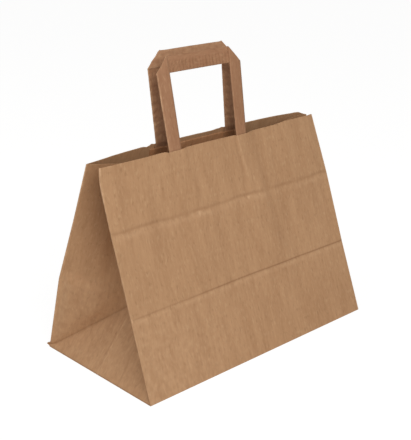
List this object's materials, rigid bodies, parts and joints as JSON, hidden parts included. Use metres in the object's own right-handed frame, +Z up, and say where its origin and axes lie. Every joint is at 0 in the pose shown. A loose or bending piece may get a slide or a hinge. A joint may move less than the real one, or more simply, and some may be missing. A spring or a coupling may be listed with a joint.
{
  "type": "paper carrier bag",
  "caption": "Brown kraft paper carrier bag with a block bottom, tucked side gussets and flat folded paper handles, standing open.",
  "frame": {"origin": "middle of the base, on the surface that the bag stands on", "axes": "+X along the wide front panel, to the right seen from the front, -Y out of the front panel, +Z up"},
  "size_m": [0.33, 0.17, 0.3234],
  "materials": {
    "kraft_sheet": "uncoated brown kraft paper",
    "kraft_strip": "folded brown kraft strip, crimped",
    "kraft_patch": "pasted brown kraft paper"
  },
  "bodies": {
    "root": {"bag_body": "kraft_sheet", "front_handle": "kraft_strip", "rear_handle": "kraft_strip", "front_handle_patch": "kraft_patch", "rear_handle_patch": "kraft_patch"}
  },
  "joints": []
}
